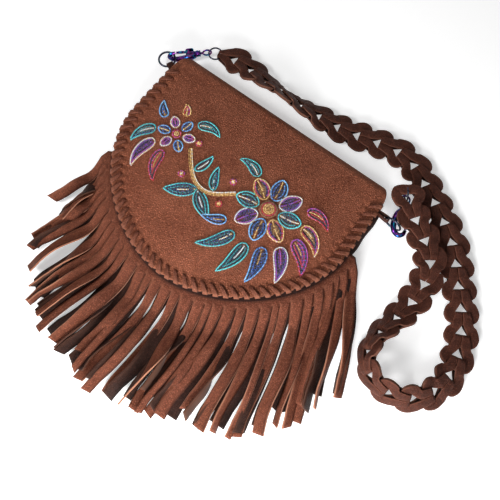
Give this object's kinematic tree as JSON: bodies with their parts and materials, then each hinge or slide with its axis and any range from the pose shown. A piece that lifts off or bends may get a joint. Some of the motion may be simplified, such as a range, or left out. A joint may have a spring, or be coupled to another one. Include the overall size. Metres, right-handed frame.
{
  "type": "fringed leather bag",
  "caption": "Small soft leather cross-body bag with a laced, beaded flap, hanging fringe and a folded-leather chain strap on swivel clasps.",
  "frame": {"origin": "middle of the back panel's outer face, on which the bag lies", "axes": "+X along the flap's folded top edge, +Y towards the strap, +Z out of the back through the flap"},
  "size_m": [0.4513, 0.4013, 0.0334],
  "materials": {
    "leather": "fine-grained soft leather",
    "fringe_leather": "soft leather, cut edges",
    "strap_leather": "dark soft leather",
    "lace_leather": "flat leather lace",
    "iridescent_metal": "iridescent blue, teal and purple plating",
    "dark_metal": "dark plating",
    "steel": "dark steel",
    "gold_beads": "glass seed beads",
    "teal_beads": "glass seed beads",
    "blue_beads": "glass seed beads",
    "violet_beads": "glass seed beads"
  },
  "bodies": {
    "root": {"back_panel": "leather", "gusset": "leather", "front_panel": "leather", "fringe_front": "fringe_leather", "fringe_back": "fringe_leather", "left_ring_tab": "leather", "right_ring_tab": "leather", "left_swivel_eye": "iridescent_metal", "right_swivel_eye": "iridescent_metal", "left_strap_ring": "dark_metal", "right_strap_ring": "dark_metal", "strap_link_01": "strap_leather", "strap_link_02": "strap_leather", "strap_link_03": "strap_leather", "strap_link_04": "strap_leather", "strap_link_05": "strap_leather", "strap_link_06": "strap_leather", "strap_link_07": "strap_leather", "strap_link_08": "strap_leather", "strap_link_09": "strap_leather", "strap_link_10": "strap_leather", "strap_link_11": "strap_leather", "strap_link_12": "strap_leather", "strap_link_13": "strap_leather", "strap_link_14": "strap_leather", "strap_link_15": "strap_leather", "strap_link_16": "strap_leather", "strap_link_17": "strap_leather", "strap_link_18": "strap_leather", "strap_link_19": "strap_leather", "strap_link_20": "strap_leather", "strap_link_21": "strap_leather", "strap_link_22": "strap_leather", "strap_link_23": "strap_leather", "strap_link_24": "strap_leather", "strap_link_25": "strap_leather", "strap_link_26": "strap_leather", "strap_link_27": "strap_leather", "strap_link_28": "strap_leather", "strap_link_29": "strap_leather", "strap_link_30": "strap_leather", "strap_link_31": "strap_leather", "strap_link_32": "strap_leather", "strap_link_33": "strap_leather", "strap_link_34": "strap_leather"},
    "flap": {"flap": "leather", "flap_lacing": "lace_leather", "bead_flower": "blue_beads", "bead_flower_center": "gold_beads", "bead_bud": "violet_beads", "bead_stem": "gold_beads", "bead_leaves": "teal_beads"},
    "left_ring": {"left_bag_ring": "dark_metal"},
    "right_ring": {"right_bag_ring": "dark_metal"},
    "left_clasp": {"left_clasp_hook": "iridescent_metal", "left_gate_pin": "steel"},
    "right_clasp": {"right_clasp_hook": "iridescent_metal", "right_gate_pin": "steel"},
    "left_gate": {"left_clasp_gate": "iridescent_metal"},
    "right_gate": {"right_clasp_gate": "iridescent_metal"}
  },
  "joints": [
    {"name": "flap_hinge", "type": "hinge", "parent": "root", "child": "flap", "pos_m": [0, 0.09195, 0.01105], "axis": [-1, 0, 0], "range_deg": [0, 105]},
    {"name": "left_ring_swing", "type": "hinge", "parent": "root", "child": "left_ring", "pos_m": [-0.14074, 0.08502, 0.0095], "axis": [0.4251, 0.9051, 0], "range_deg": [-2, 6]},
    {"name": "right_ring_swing", "type": "hinge", "parent": "root", "child": "right_ring", "pos_m": [0.14183, 0.07778, 0.0108], "axis": [0, 0, 1], "range_deg": [-3, 4]},
    {"name": "left_swivel", "type": "hinge", "parent": "root", "child": "left_clasp", "pos_m": [-0.1245, 0.1165, 0.0095], "axis": [-0.7121, -0.7021, 0], "range_deg": [-15, 24]},
    {"name": "right_swivel", "type": "hinge", "parent": "root", "child": "right_clasp", "pos_m": [0.1487, 0.1026, 0.0054], "axis": [0.366, -0.9273, 0.0781], "range_deg": [-12, 3]},
    {"name": "left_gate_hinge", "type": "hinge", "parent": "left_clasp", "child": "left_gate", "pos_m": [-0.13411, 0.10702, 0.0147], "axis": [0.7021, -0.7121, 0], "range_deg": [0, 25], "stiffness_Nm_per_rad": 0.01, "springref_deg": -5.73},
    {"name": "right_gate_hinge", "type": "hinge", "parent": "right_clasp", "child": "right_gate", "pos_m": [0.15848, 0.09199, 0.00646], "axis": [0.029, -0.0725, -0.9969], "range_deg": [0, 25], "stiffness_Nm_per_rad": 0.01, "springref_deg": -5.73}
  ]
}
